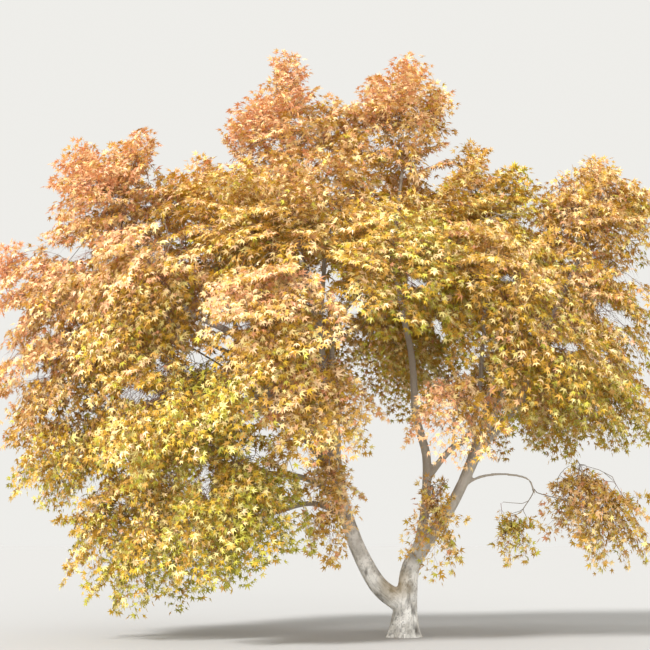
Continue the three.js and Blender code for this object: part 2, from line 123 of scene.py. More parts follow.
# Limbs: the same lines and radii as the part's, but for the low right bough, which is thinner

trunkForm = {
    "line": [(0, 0, 0), (0, 0, 90), (30, 0, 370), (62, 0, 640), (125, 0, 770), (190, 0, 870)],
    "radius": (150, 84),
    "taper": 2,
}
rootFlare = {"lobes": 5, "depth": 0.3, "height": 85, "turn": 0.6, "reach": 350}

# name: what it grows from, at what share of that one's length, its two radii, its line
boughForms = {
    "left_stem": ("trunk", 0.33, (90, 58), [
        (-240, 0, 490), (-440, 15, 840), (-560, 35, 1180), (-640, 50, 1570), (-670, 60, 1800)]),
    "centre_bough": ("trunk", 0.9, (52, 18), [
        (215, 25, 1200), (235, 80, 1710), (140, 85, 2150), (100, 40, 2700), (-70, 0, 3700),
        (20, 40, 4600)]),
    "right_bough": ("trunk", 0.92, (64, 24), [
        (370, 0, 1090), (600, 0, 1500), (760, 0, 1810), (1100, 0, 2210), (1420, 0, 2950),
        (1740, 0, 3620)]),
    "left_leader": ("left_stem", 0.93, (46, 20), [
        (-650, 90, 2000), (-720, 110, 2400), (-850, 120, 3050), (-1020, 80, 3850),
        (-1100, 20, 4520)]),
    "left_bough": ("left_stem", 0.86, (56, 22), [
        (-900, 20, 2020), (-1270, -20, 2320), (-1620, -20, 2890), (-2120, 0, 3180),
        (-2560, 0, 3720)]),
    "forked_bough": ("centre_bough", 0.19, (34, 18), [
        (470, 25, 1800), (650, 0, 1930), (735, -10, 2250), (800, 0, 2800), (850, 0, 3520)]),
    "middle_left_bough": ("left_bough", 0.24, (32, 24), [
        (-1500, 20, 2270), (-2200, 30, 2340), (-2820, 0, 2120)]),
    "far_left_bough": ("left_bough", 0.72, (26, 18), [(-2450, -20, 3190), (-2900, 0, 3230)]),
    "upper_left_bough": ("left_bough", 0.56, (26, 18), [(-1690, 20, 3150), (-1790, 40, 3480)]),
    "low_left_bough": ("left_stem", 0.6, (32, 20), [
        (-860, -20, 1270), (-1350, -80, 1160), (-1830, -100, 1110)]),
    "front_left_bough": ("left_bough", 0.45, (30, 20), [(-1680, -450, 2690), (-2020, -950, 2800)]),
    "front_low_left_bough": ("left_stem", 0.72, (34, 24), [
        (-950, -380, 1500), (-1430, -900, 1540)]),
    "front_centre_bough": ("left_stem", 0.95, (40, 24), [(-690, -350, 2200), (-700, -930, 2800)]),
    "left_front_shoot": ("left_stem", 0.87, (24, 20), [(-700, -220, 1740), (-720, -460, 1800)]),
    "back_left_bough": ("left_stem", 0.8, (40, 24), [(-980, 450, 1950), (-1800, 1100, 2700)]),
    "back_centre_bough": ("left_leader", 0.22, (32, 24), [(-880, 480, 2850), (-1150, 930, 3480)]),
    "inner_leader": ("left_leader", 0.42, (28, 24), [(-790, -60, 3300), (-760, -260, 3680)]),
    "back_top_bough": ("centre_bough", 0.56, (26, 24), [(60, 380, 3300), (90, 740, 3650)]),
    "front_right_shoot": ("forked_bough", 0.18, (20, 16), [(480, -260, 1940), (450, -600, 2060)]),
    "centre_shoot": ("centre_bough", 0.13, (18, 14), [(238, -80, 1370), (262, -170, 1420)]),
    "inner_right_bough": ("right_bough", 0.36, (34, 24), [(900, -280, 2180), (1040, -700, 2620)]),
    "far_right_bough": ("right_bough", 0.53, (24, 18), [(1300, 20, 2330), (1480, 0, 2340)]),
    "low_right_bough": ("right_bough", 0.23, (17, 12), [
        (760, -20, 1530), (1020, -40, 1550), (1220, -50, 1500), (1260, -60, 1410)]),
    "back_right_bough": ("right_bough", 0.22, (40, 24), [(760, 420, 1900), (1130, 1030, 2950)]),
}

# the points that a limb is worked out at: metres apart, the fewest, and how many to a smooth span
limbSteps = {"length": 0.03, "fewest": 4, "toSpan": 40}


# A smooth line through points, closely sampled (a centripetal Catmull-Rom curve).
def smoothLine(points):
    ends = [2 * points[0] - points[1], *points, 2 * points[-1] - points[-2]]
    share = np.linspace(0, 1, limbSteps["toSpan"], endpoint=False)[:, None]
    spans = []
    for a, b, c, d in zip(ends, ends[1:], ends[2:], ends[3:]):
        before, here, after = [math.sqrt(norm(q - p)) for p, q in ((a, b), (b, c), (c, d))]
        leaving = here * ((b - a) / before - (c - a) / (before + here)) + (c - b)
        arriving = here * ((d - c) / after - (d - b) / (here + after)) + (c - b)
        square = 3 * (c - b) - 2 * leaving - arriving
        cube = 2 * (b - c) + leaving + arriving
        spans.append(b + leaving * share + square * share ** 2 + cube * share ** 3)
    return np.vstack([*spans, points[-1:]])


def lengthsAlong(line):
    steps = norm(np.diff(line, axis=0), axis=1)
    return np.concatenate([[0], np.cumsum(steps)])


def pointsAt(line, shares):
    along = lengthsAlong(line)
    wanted = np.asarray(shares) * along[-1]
    return np.stack([np.interp(wanted, along, line[:, k]) for k in range(3)], axis=-1)


def headingsOf(line):
    return unit(np.gradient(line, axis=0))


def makeLimb(name, points, radiusAt):
    fine = smoothLine(np.array(points, float) * mm)
    count = max(limbSteps["fewest"], round(lengthsAlong(fine)[-1] / limbSteps["length"]))
    shares = np.linspace(0, 1, count + 1)
    line = pointsAt(fine, shares)
    return {"name": name, "line": line, "radii": radiusAt(shares) * mm, "headings": headingsOf(line)}


def trunkRadius(shares):
    foot, fork = trunkForm["radius"]
    return fork + (foot - fork) * (1 - shares) ** trunkForm["taper"]


limbs = {"trunk": makeLimb("trunk", trunkForm["line"], trunkRadius)}
for name, (parent, share, (base, tip), through) in boughForms.items():
    start = pointsAt(limbs[parent]["line"], share) / mm
    limbs[name] = makeLimb(
        name, [start, *through], lambda shares, base=base, tip=tip: base + (tip - base) * shares
    )
print("limbs:", len(limbs))


# Bark: every limb is a bevelled curve, and a remesh joins them all under one skin.

bark = {
    "voxel": 0.0125,
    "roundness": 6,  # gives a limb 16 sides
    "wobble": 0.16,  # of the radius, sideways
    "wobbleLength": 0.35,
    "wobbleFade": 0.2,  # metres from a limb's ends
    "collar": 0.28,  # a bough is fatter by this where it starts
    "collarLength": 2.2,  # in radii
    "tipTaper": [(0.02, 0.92), (0.05, 0.72), (0.08, 0.45)],  # metres past a bough's tip, and radius
    "trunkTip": (0.02, 0.7),  # the same for the trunk
    "below": 0.08,  # the trunk is made this much too long, and cut off level
    "fineHeight": 0.75,  # the bark below here is meshed twice as finely
    "fineSmoothness": 0.6,
    "smoothing": 6,
}


def limbCurve(limb):
    line = limb["line"].copy()
    radii = limb["radii"].copy()
    along = lengthsAlong(line)
    fade = np.minimum(1, np.minimum(along, along[-1] - along) / bark["wobbleFade"])
    for i, point in enumerate(line):
        sway = noise.noise_vector(Vector(point) / bark["wobbleLength"])
        line[i] += np.array(sway) * radii[i] * bark["wobble"] * fade[i]
    heading = limb["headings"][-1]
    if limb["name"] == "trunk":
        past, share = bark["trunkTip"]
        line = np.vstack([[line[0] - (0, 0, bark["below"])], line, [line[-1] + heading * past]])
        radii = np.concatenate([[radii[0]], radii, [radii[-1] * share]])
    else:
        radii *= 1 + bark["collar"] * np.exp(-along / (bark["collarLength"] * radii[0]))
        for past, share in bark["tipTaper"]:
            line = np.vstack([line, [limb["line"][-1] + heading * past]])
            radii = np.append(radii, limb["radii"][-1] * share)
    bpy.ops.curve.primitive_bezier_curve_add()
    piece = bpy.context.object
    curve = piece.data
    curve.splines.clear()
    spline = curve.splines.new("POLY")
    spline.points.add(len(line) - 1)
    for point, place, radius in zip(spline.points, line, radii):
        point.co = (*place, 1)
        point.radius = radius
    curve.dimensions = "3D"
    curve.bevel_depth = 1  # times each point's radius
    curve.bevel_resolution = bark["roundness"]
    curve.use_fill_caps = True
    return piece


def readVectors(items, kind):
    values = np.empty(len(items) * 3)
    items.foreach_get(kind, values)
    return values.reshape(-1, 3)


def joinLimbs():
    pieces = [limbCurve(limb) for limb in limbs.values()]
    deselectAll()
    for piece in pieces:
        piece.select_set(True)
    bpy.context.view_layer.objects.active = pieces[0]
    bpy.ops.object.convert(target="MESH")
    bpy.ops.object.join()
    skin = bpy.context.object
    remesh = skin.modifiers.new("one skin", "REMESH")
    remesh.mode = "VOXEL"
    remesh.voxel_size = bark["voxel"]
    bpy.ops.object.modifier_apply(modifier=remesh.name)
    smooth = skin.modifiers.new("soft crotches", "SMOOTH")
    smooth.iterations = bark["smoothing"]
    bpy.ops.object.modifier_apply(modifier=smooth.name)
    return skin


# The bark low down is meshed more finely. Its faces are picked by their middles.
def refineFoot(skin):
    pickOnly(skin)
    bpy.ops.object.mode_set(mode="EDIT")
    bpy.ops.mesh.select_mode(type="FACE")
    bpy.ops.mesh.select_all(action="DESELECT")
    bpy.ops.object.mode_set(mode="OBJECT")
    middles = readVectors(skin.data.polygons, "center")
    skin.data.polygons.foreach_set("select", middles[:, 2] < bark["fineHeight"])
    bpy.ops.object.mode_set(mode="EDIT")
    bpy.ops.mesh.subdivide(number_cuts=1, smoothness=bark["fineSmoothness"])
    bpy.ops.object.mode_set(mode="OBJECT")


# The foot is cut level with the ground, and the cut is closed.
def cutFoot(skin):
    pickOnly(skin)
    bpy.ops.object.mode_set(mode="EDIT")
    bpy.ops.mesh.select_all(action="SELECT")
    bpy.ops.mesh.bisect(plane_co=(0, 0, 0), plane_no=(0, 0, 1), use_fill=True, clear_inner=True)
    bpy.ops.object.mode_set(mode="OBJECT")


def treeOf(places):
    tree = kdtree.KDTree(len(places))
    for i, place in enumerate(places):
        tree.insert(place, i)
    tree.balance()
    return tree


relief = {
    "startSide": (0.3, 1, 0.1),  # a direction that no limb starts in
    "limbShift": 3,  # metres between the patterns of one limb and the next
    "nearest": 6,  # points of the limbs that a vertex may belong to
    "stretch": 0.2,  # the pattern is drawn out along the limb
    "crackScale": 30.0,
    "crackBend": (0.02, 14),  # metres that the cracks wander, and bends to a metre
    "crackDepth": 0.006,
    "crackWidth": 0.11,
    "oldBark": (0.035, 0.1),  # cracks come in between these radii
    "swell": 0.07,  # of the radius
    "swellScale": 7.0,
    "knob": 0.0022,
    "knobScale": 24.0,
    "knobShift": (5, 5, 5),
    "youngKnobs": 0.4,  # times that height on young bark, and 1 more on old bark
    "blotches": (15, 15, 8),  # to a metre, along X, Y and Z
    "blotchShift": (9, 2, 4),
    "blotchEdge": (0.4, 3),  # share and scale of a finer pattern in them
}


# For each vertex: how thick the limb is that it lies on, how far along it is and which way round.
def limbPlaces(vertices):
    rows = []
    for order, limb in enumerate(limbs.values()):
        side = unit(np.cross(limb["headings"][0], relief["startSide"]))
        alongs = lengthsAlong(limb["line"]) + relief["limbShift"] * order
        for centre, radius, along, heading in zip(limb["line"], limb["radii"], alongs, limb["headings"]):
            side = unit(side - heading * side.dot(heading))
            rows.append((centre, radius, along, side, np.cross(heading, side)))
    centres, radii, alongs, sideways, upwards = [np.array(column) for column in zip(*rows)]
    tree = treeOf(centres)
    owner = np.empty(len(vertices), int)
    for i, vertex in enumerate(vertices):
        near = tree.find_n(vertex, relief["nearest"])
        owner[i] = min(near, key=lambda found: abs(found[2] - radii[found[1]]))[1]
    off = vertices - centres[owner]
    around = np.stack([np.sum(off * sideways[owner], 1), np.sum(off * upwards[owner], 1)], 1)
    return radii[owner], alongs[owner], around


def smoothStep(low, high, value):
    share = np.clip((value - low) / (high - low), 0, 1)
    return share * share * (3 - 2 * share)


def giveRelief(skin):
    mesh = skin.data
    count = len(mesh.vertices)
    vertices, normals = readVectors(mesh.vertices, "co"), readVectors(mesh.vertices, "normal")
    radii, alongs, around = limbPlaces(vertices)
    pattern = np.column_stack([around, alongs * relief["stretch"]])
    age = smoothStep(*relief["oldBark"], radii)
    swell, crack, knob = np.empty((3, count))
    bend, bends = relief["crackBend"]
    for i, place in enumerate(pattern):
        spot = Vector(place)
        swell[i] = noise.noise(spot * relief["swellScale"])
        bent = spot + bend * noise.noise_vector(spot * bends)
        crack[i] = noise.noise(bent * relief["crackScale"])
        knob[i] = noise.noise(spot * relief["knobScale"] + Vector(relief["knobShift"]))
    cracks = np.clip(1 - np.abs(crack) / relief["crackWidth"], 0, 1) * age
    flare = rootFlare["height"] * mm
    turn = np.arctan2(vertices[:, 0], -vertices[:, 1])
    lobe = 0.5 + 0.5 * np.cos(rootFlare["lobes"] * turn + rootFlare["turn"])
    spread = rootFlare["depth"] * lobe * np.exp(-np.maximum(vertices[:, 2], 0) / flare)
    near = norm(vertices[:, :2], axis=1) < rootFlare["reach"] * mm
    vertices[:, :2] += vertices[:, :2] * (spread * near)[:, None]
    push = swell * relief["swell"] * radii - cracks * relief["crackDepth"]
    push += knob * relief["knob"] * (relief["youngKnobs"] + age)
    vertices += normals * push[:, None]
    mesh.vertices.foreach_set("co", vertices.ravel())
    mesh.update()
    # red: cracks, green: age of the bark, blue: blotches, drawn out upwards
    share, scale = relief["blotchEdge"]
    spots = map(Vector, vertices * relief["blotches"] + relief["blotchShift"])
    blotch = np.array([noise.noise(spot) + share * noise.noise(spot * scale) for spot in spots])
    tone = mesh.attributes.new("barkTone", "FLOAT_COLOR", "POINT")
    values = np.column_stack([cracks, age, 0.5 + 0.5 * blotch, np.ones(count)])
    tone.data.foreach_set("color", values.ravel())


# Maple bark: smooth and pale grey on the boughs, grey-white with dark blotches and upright cracks
# on the old trunk, with ochre moss in the low fork. It is matt, so it never shines.
barkFinish = {
    "pale": "#fdfbf6",
    "grey": "#cac7c0",
    "dark": "#544f48",
    "young": "#b3aa9d",
    "moss": "#a98c48",
    "roughness": 0.88,
    "grain": (1000 / 9, 3),  # fine lines to a metre, and layers of noise
    "patch": (1000 / 130, 5),  # patches of paler bark to a metre, and layers of noise
    # the values of each pattern between which its colour comes in
    "fade": {"patch": (0.42, 0.62), "blotch": (0.54, 0.95), "grain": (0.56, 0.8), "crack": (0.0, 1.8)},
    "bump": {"Strength": 0.5, "Distance": 0.003},
    "mossAt": (-0.07, -0.05, 0.5),
    "mossReach": (0.2, 0.03),  # metres from there at which it starts and is full
}


def ramp(tree, value, low, high):
    node = addNode(tree, "ShaderNodeMapRange", {"From Min": low, "From Max": high}, {"Value": value})
    return node.outputs["Result"]


# In a Mix node for colours the sockets 0, 6 and 7 are its share and its two colours.
def mixColours(tree, share, first, second):
    mix = addNode(tree, "ShaderNodeMix", {"data_type": "RGBA"})
    for index, value in ((0, share), (6, first), (7, second)):
        if isinstance(value, bpy.types.NodeSocket):
            tree.links.new(value, mix.inputs[index])
        else:
            mix.inputs[index].default_value = value
    return mix.outputs[2]


def makeBarkMaterial():
    material = newMaterial("weathered_maple_bark", barkFinish["grey"], barkFinish["roughness"])
    tree = material.node_tree
    shader = tree.nodes["Principled BSDF"]
    place = addNode(tree, "ShaderNodeTexCoord").outputs["Object"]
    tone = addNode(tree, "ShaderNodeAttribute", {"attribute_name": "barkTone"}).outputs["Color"]
    parts = addNode(tree, "ShaderNodeSeparateColor", links={"Color": tone})
    crack, age, blotch = [parts.outputs[name] for name in ("Red", "Green", "Blue")]
    patches, grain = [
        addNode(tree, "ShaderNodeTexNoise", {"Scale": scale, "Detail": detail}, {"Vector": place})
        .outputs["Fac"] for scale, detail in (barkFinish["patch"], barkFinish["grain"])
    ]
    pale, grey, dark, young, moss = [toLinear(barkFinish[name])
                                     for name in ("pale", "grey", "dark", "young", "moss")]

    def fadeIn(value, name, first, second):
        return mixColours(tree, ramp(tree, value, *barkFinish["fade"][name]), first, second)

    old = fadeIn(patches, "patch", pale, grey)
    old = fadeIn(blotch, "blotch", old, dark)
    skin = mixColours(tree, age, young, old)
    skin = fadeIn(grain, "grain", skin, grey)
    skin = fadeIn(crack, "crack", skin, dark)
    reach = addNode(tree, "ShaderNodeVectorMath", {"operation": "DISTANCE"}, {0: place})
    reach.inputs[1].default_value = barkFinish["mossAt"]
    near = ramp(tree, reach.outputs["Value"], *barkFinish["mossReach"])
    mossy = addNode(tree, "ShaderNodeMath", {"operation": "MULTIPLY"}, {0: near, 1: patches})
    skin = mixColours(tree, mossy.outputs[0], skin, moss)
    tree.links.new(skin, shader.inputs["Base Color"])
    bump = addNode(tree, "ShaderNodeBump", barkFinish["bump"], {"Height": grain})
    tree.links.new(bump.outputs["Normal"], shader.inputs["Normal"])
    return material


skin = joinLimbs()
refineFoot(skin)
giveRelief(skin)
cutFoot(skin)
skin.name = skin.data.name = "bark"
pickOnly(skin)
bpy.ops.object.shade_smooth()
skin.data.materials.append(makeBarkMaterial())
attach(skin, "root")
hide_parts(*limbs)
print("bark:", sum(len(face.vertices) - 2 for face in skin.data.polygons), "triangles")


# Crown: the same masses as the part's. name: the bough that carries it, its tint, its middle and
# how far it reaches from there along X, Y and Z.
massForms = {
    "top_left_leaves": ("left_leader", "coral", (-1130, 50, 5070), (630, 750, 790)),
    "top_right_leaves": ("centre_bough", "coral", (-20, 100, 5060), (580, 750, 800)),
    "high_centre_leaves": ("inner_leader", "amber", (-620, -50, 4350), (800, 800, 700)),
    "upper_left_leaves": ("left_bough", "coral", (-2830, 0, 4220), (830, 850, 740)),
    "inner_left_leaves": ("upper_left_bough", "amber", (-1900, 0, 4000), (760, 900, 720)),
    "far_left_leaves": ("far_left_bough", "coral", (-3380, 0, 3230), (740, 900, 620)),
    "middle_left_leaves": ("middle_left_bough", "amber", (-3330, 0, 2520), (780, 900, 600)),
    "low_left_leaves": ("middle_left_bough", "gold", (-3120, -50, 1830), (760, 800, 500)),
    "lowest_left_leaves": ("low_left_bough", "olive", (-2500, -100, 1020), (920, 850, 620)),
    "right_shoulder_leaves": ("forked_bough", "gold", (780, 0, 4050), (760, 900, 800)),
    "upper_right_leaves": ("right_bough", "amber", (1940, 0, 4020), (650, 850, 740)),
    "far_right_leaves": ("right_bough", "amber", (1900, 0, 3150), (660, 900, 640)),
    "middle_right_leaves": ("far_right_bough", "gold", (1780, 0, 2330), (700, 850, 520)),
    "lowest_right_leaves": ("low_right_bough", "amber", (1880, 0, 1220), (540, 600, 500)),
    "low_right_cluster": ("low_right_bough", "gold", (1060, -50, 1060), (240, 300, 270)),
    "front_left_leaves": ("front_left_bough", "amber", (-2450, -1150, 3150), (880, 900, 720)),
    "front_low_left_leaves": ("front_low_left_bough", "gold", (-2150, -1250, 2050), (880, 900, 600)),
    "front_left_skirt": ("front_low_left_bough", "olive", (-1500, -1050, 1180), (800, 850, 560)),
    "front_inner_left_leaves": ("front_centre_bough", "amber", (-1250, -1350, 2850), (780, 850, 720)),
    "front_high_leaves": ("inner_leader", "amber", (-1300, -1000, 3850), (820, 850, 720)),
    "front_centre_leaves": ("front_centre_bough", "gold", (-150, -1200, 3500), (800, 900, 720)),
    "front_right_leaves": ("inner_right_bough", "gold", (900, -1150, 3250), (780, 900, 720)),
    "front_low_right_leaves": ("inner_right_bough", "gold", (1350, -1050, 2450), (720, 850, 500)),
    "front_low_centre_leaves": ("front_right_shoot", "coral", (480, -1000, 2150), (480, 550, 380)),
    "front_low_inner_leaves": ("left_front_shoot", "amber", (-850, -1150, 2150), (560, 700, 500)),
    "left_stem_spray": ("left_front_shoot", "amber", (-720, -350, 1330), (450, 360, 500)),
    "trunk_spray": ("centre_shoot", "amber", (290, -340, 1150), (270, 280, 500)),
    "back_left_leaves": ("back_left_bough", "amber", (-2750, 1150, 3300), (900, 950, 760)),
    "back_low_left_leaves": ("back_left_bough", "gold", (-2400, 1200, 2150), (900, 950, 680)),
    "back_inner_leaves": ("back_centre_bough", "gold", (-1200, 1350, 2950), (850, 900, 720)),
    "back_top_left_leaves": ("back_centre_bough", "coral", (-1450, 1050, 4200), (850, 950, 780)),
    "back_top_right_leaves": ("back_top_bough", "amber", (0, 1100, 4250), (850, 950, 780)),
    "back_centre_leaves": ("back_top_bough", "gold", (150, 1350, 3100), (780, 850, 650)),
    "back_right_leaves": ("back_right_bough", "amber", (1300, 1150, 3700), (850, 950, 760)),
    "back_low_right_leaves": ("back_right_bough", "gold", (1450, 1150, 2500), (820, 900, 620)),
}

growth = {
    "crownMiddle": (-760, 0, 2700),
    "sprayRoom": 0.036,  # cubic metres of a mass to each of its sprays
    "sprayReach": 0.97,
    "wallSlack": 0.16,  # a spray's tip may lean this far into the next mass
    "candidates": 12,
    "fitTries": 6,
    "stemShare": 0.6,
    "stemElbow": 2,  # tip radii of its bough, from its foot to where it turns
    "stemApart": 0.5,  # of that radius, from the bough's middle line where stems share it
    "stemSteps": 9,
    "stemSwell": 1.15,
    "stemThickness": 0.9,
    "sharedThickness": 0.42,
    "twigThinning": 0.78,
    "branchThinning": 0.6,
    "leastTwig": 0.004,
    "bend": 0.27,  # of a twig's length, before it turns to its spray's direction
    "bendSteps": (5, 1.05),  # points along a bent twig, and how far along it the last one is
    "mostArch": 0.02,  # metres that a twig may rise over both its ends
    "stemSockets": (0.98, 0.86, 0.74, 0.62, 0.5),
    "twigSockets": (0.85, 0.6, 0.35),
    "sharpestTurn": -0.1,
    "sharpCost": 10.0,  # metres that a sharper turn counts for
    "droop": 0.85,
    "scatter": 0.9,
    "mostRoll": 0.45,
    "leadTilts": (0, 0.9, -0.9),
    "leadReach": 0.985,
    "leadLength": 0.9,  # of the way from a mass's middle to its limit
    "buriedFrom": 1.4,  # times a mass's reach, inside which it shades a place
    "shaded": (0.95, 1.3),  # how buried a spray is where its leaves get fewer and larger
    "bareInside": 1.5,  # and where it is shaded out, and its twig is bare
}

# A mass is open and ragged inside its limits: at the sides of the crown it lies in flat tiers that
# fall away from the trunk, and at the top it stands up in narrow peaks, with hollows between.
hollows = {
    "depth": (0.54, 0.3),  # of the reach, at the sides and at the top
    "tiers": (1.2, 1.2, 2.6),  # lobes to a metre, along X, Y and Z
    "peaks": (2.0, 2.0, 0.8),
    "fall": 0.65,
    "contrast": 0.9,
    "edge": 1.05,  # of the reach, where there is no hollow
}

# Gaps that go right through the crown, as the camera sees them at the trunk's plane: X and Z of
# the two ends of each, and how far it reaches to each side of the line between them.
gaps = {
    "through": [
        (-3990, 2760, -3790, 2760, 75), (-3690, 2540, -3490, 2540, 65), (-3470, 3770, -3150, 3770, 95),
        (-2700, 2370, -2400, 2320, 90), (-2410, 2700, -2330, 2560, 60),
        (-1830, 3050, -1530, 3050, 65), (-1920, 1620, -1900, 1430, 85), (-2990, 1510, -2970, 1410, 65),
        (290, 4750, 290, 4500, 42), (1990, 3200, 2190, 3100, 85), (990, 3520, 1110, 3520, 55),
        (60, 3510, 180, 3470, 65), (350, 3070, 390, 2940, 65), (1520, 2830, 1740, 2830, 65),
        (2490, 3570, 2200, 3510, 100),
    ],
    "ragged": (0.55, 1.3),  # of the reach, from leaf to leaf
    # boughs that show in front of the leaves behind them, and over what share of their length
    "shown": {
        "left_leader": (0.3, 0.8), "inner_leader": (0.2, 1.0), "centre_bough": (0.62, 1.0),
        "right_bough": (0.8, 1.0), "left_bough": (0.55, 1.0), "forked_bough": (0.5, 0.9),
        "low_left_bough": (0.1, 0.6),
    },
    "besideBough": 0.035,  # metres kept clear of leaves to each side of a bough that shows
    "boughSteps": 6,
}

# The peaks that stand up along the top of the crown, left to right: X and Z of each tip, and how
# far the leaves fall below it for each metre out from its middle line.
peaks = {
    "tips": [
        (-3910, 3850, 1.0), (-3530, 3860, 1.0), (-3240, 4920, 1.5), (-2830, 4900, 1.4),
        (-2620, 5030, 1.2), (-2250, 4560, 1.6), (-1980, 4720, 1.2), (-1640, 5150, 1.6),
        (-1420, 5330, 2.2), (-1110, 5860, 1.7), (-720, 5330, 1.6), (-480, 5300, 1.6),
        (-200, 5600, 1.6), (110, 5830, 1.7), (350, 5520, 1.6), (720, 4900, 1.1),
        (1150, 4620, 1.1), (1500, 4320, 1.6), (1990, 4760, 1.6), (2380, 4420, 1.3),
    ],
    "round": 0.12,  # metres about a tip's middle line that stay level
    "depthShare": 0.45,  # how much less the leaves fall towards the back and the front
    "nearMiddle": 0.2,  # masses within these metres of Y 0 carry them
    "leans": (0, 0.45, -0.45, 0.2, -0.2),  # of the sprays that stand up to each tip
    "depthLean": 0.6,
    "leanShift": 0.25,  # metres to the side for each unit of lean
    "lower": 0.35,  # metres that a leaning spray's tip is lower for each unit of lean
    "behind": 0.35,  # metres between the sprays of a peak, front to back
}

# Sprays that hang out of a mass into the space beside it: where the tip of each is.
strays = {
    "top_right_leaves": [(-420, 60, 5250), (250, 80, 4700)],
    "low_right_cluster": [(880, -60, 980), (1220, -90, 940), (1000, -160, 850), (1120, 60, 870),
                          (1040, -220, 1230), (1180, -150, 1180)],
    "trunk_spray": [(230, -260, 1600), (350, -300, 1560), (180, -340, 1420), (440, -320, 1380)],
    "top_left_leaves": [(-1540, 20, 5270)],
    "front_low_left_leaves": [(-1330, -950, 1960), (-1160, -1000, 1840), (-1450, -1100, 1760)],
    "front_low_inner_leaves": [(-1380, -1200, 2060), (-1240, -1050, 1780), (-1120, -1250, 1700)],
    "front_left_skirt": [(-1120, -950, 1640), (-1300, -1150, 1780)],
}

# A spray is a twig with opposite pairs of side twigs, and real leaves in pairs along them. It takes
# the place of one large leaf of the part's source.
spray = {
    "lengths": (0.68, 0.58, 0.46, 0.34),  # tried in turn, until one fits the space
    "middle": 0.8,  # share of its length at which it stands on its seeded point
    "overTip": 0.08,  # metres that its tip may stand out past the mass's limits
    "nodeEvery": 0.088,  # metres between pairs of side twigs
    "sideLength": 0.5,  # of the spray's length, at most
    "sideAngle": 0.95,
    "pairEvery": 0.067,  # metres between pairs of leaves
    "nodes": (0.13, 0.9),  # shares of its length where side twigs start and end
    "fewestNodes": 3,
    "footShare": 0.12,  # near the foot the side twigs are shorter
    "turnByNode": (1.15, 0.4),  # at the foot, and how much less at the tip
    "pairsFrom": (0.55, 0.35),  # in pairs, from the twig's foot and past its tip
    "scatter": {
        "turn": (0.75, 1.2), "lift": (-0.12, 0.12), "node": (-0.02, 0.02), "length": (0.8, 1.15),
        "leafTurn": (0.8, 1.25), "leafLift": (-0.2, 0.2),
    },
    "tipTurns": (-0.8, 0, 0.8),
    "sag": 0.22,
    "sideSag": 0.25,
    "variants": 8,
    "twigSteps": 4,
    "twigRadius": 0.0028,
    "twigTip": 0.0012,
    "sideRadius": 0.0016,
}

leaf = {
    "size": (0.041, 0.068),  # metres from the stalk to the middle lobe's tip
    "stalk": 0.026,
    "stalkRadius": 0.0012,
    "clearance": 0.015,  # metres from any bark
    "droop": 0.5,
    "droopScatter": (0.4, 1.5),
    "faceUp": 0.7,
    "faceOut": 1.0,
    "tumble": 0.65,
    # five lobes: the turn of each tip and its reach, with the notches between them
    "lobes": ((0, 1.0), (43, 0.9), (95, 0.62)),
    "notches": ((21, 0.38), (68, 0.32)),
    "cup": 0.16,
    "notchRise": 0.03,
    "leastShare": 0.25,  # a spray that keeps fewer of its leaves is left out
    "shadedOut": 0.6,  # share of the leaves that a shaded spray lacks
    "shadeGrowth": 0.4,  # and how much larger the others are
}


# Seeded random numbers from 0 to 1: the same 32-bit rule as the part's source.
def seededRandom(seed):
    state = seed

    def draw():
        nonlocal state
        state = (state + 0x6D2B79F5) & 0xFFFFFFFF
        mixed = ((state ^ (state >> 15)) * (state | 1)) & 0xFFFFFFFF
        mixed ^= (mixed + ((mixed ^ (mixed >> 7)) * (mixed | 61) & 0xFFFFFFFF)) & 0xFFFFFFFF
        return ((mixed ^ (mixed >> 14)) & 0xFFFFFFFF) / 2 ** 32

    return draw


def makeMasses():
    masses = []
    for name, (bough, tint, middle, reach) in massForms.items():
        middle, reach = np.array(middle) * mm, np.array(reach) * mm
        outward = unit(middle - np.array(growth["crownMiddle"]) * mm)
        masses.append({
            "name": name, "on": bough, "tint": tint, "middle": middle, "reach": reach,
            "outward": outward, "lift": max(0.0, outward[2]), "walls": [],
        })
    return masses


# Where two masses would meet, a flat wall between them shares the room by their reach.
def shareRoom(masses):
    for index, a in enumerate(masses):
        for b in masses[index + 1:]:
            across = b["middle"] - a["middle"]
            apart = norm(across)
            across = across / apart
            reachA = norm(across * a["reach"])
            reachB = norm(across * b["reach"])
            if reachA + reachB < apart:
                continue
            onWall = a["middle"] + across * apart * reachA / (reachA + reachB)
            b["walls"].append((across, onWall))
            a["walls"].append((-across, onWall))


# Where places are from a mass's middle, for a reach of 1 along X, Y and Z.
def offIn(mass, places):
    return (places - mass["middle"]) / mass["reach"]


def inSpace(mass, places, margin=0):
    inside = norm(offIn(mass, places), axis=-1) <= 1
    for across, onWall in mass["walls"]:
        inside &= (places - onWall) @ across > margin
    return inside


# How high the crown reaches over a place: up to the slopes of the peaks about it.
def crownTop(place):
    tips = np.array(peaks["tips"])
    out = np.hypot(tips[:, 0] * mm - place[0], peaks["depthShare"] * place[1])
    return np.max(tips[:, 1] * mm - tips[:, 2] * np.maximum(0, out - peaks["round"]))


# Tells whether a place is in the leafy part of a mass, and not in a hollow or past its peaks.
def inLeaf(mass, place):
    if place[2] > crownTop(place):
        return False
    out = norm(offIn(mass, place))
    lift = mass["lift"] ** 2
    scale = np.array(hollows["tiers"]) * (1 - lift) + np.array(hollows["peaks"]) * lift
    spot = place - np.array(growth["crownMiddle"]) * mm
    spot[2] += hollows["fall"] * (1 - lift) * math.hypot(spot[0], spot[1])
    hollow = np.clip(0.5 + hollows["contrast"] * noise.noise(Vector(spot * scale)), 0, 1)
    sideDepth, topDepth = hollows["depth"]
    return out + (sideDepth * (1 - lift) + topDepth * lift) * hollow <= hollows["edge"]


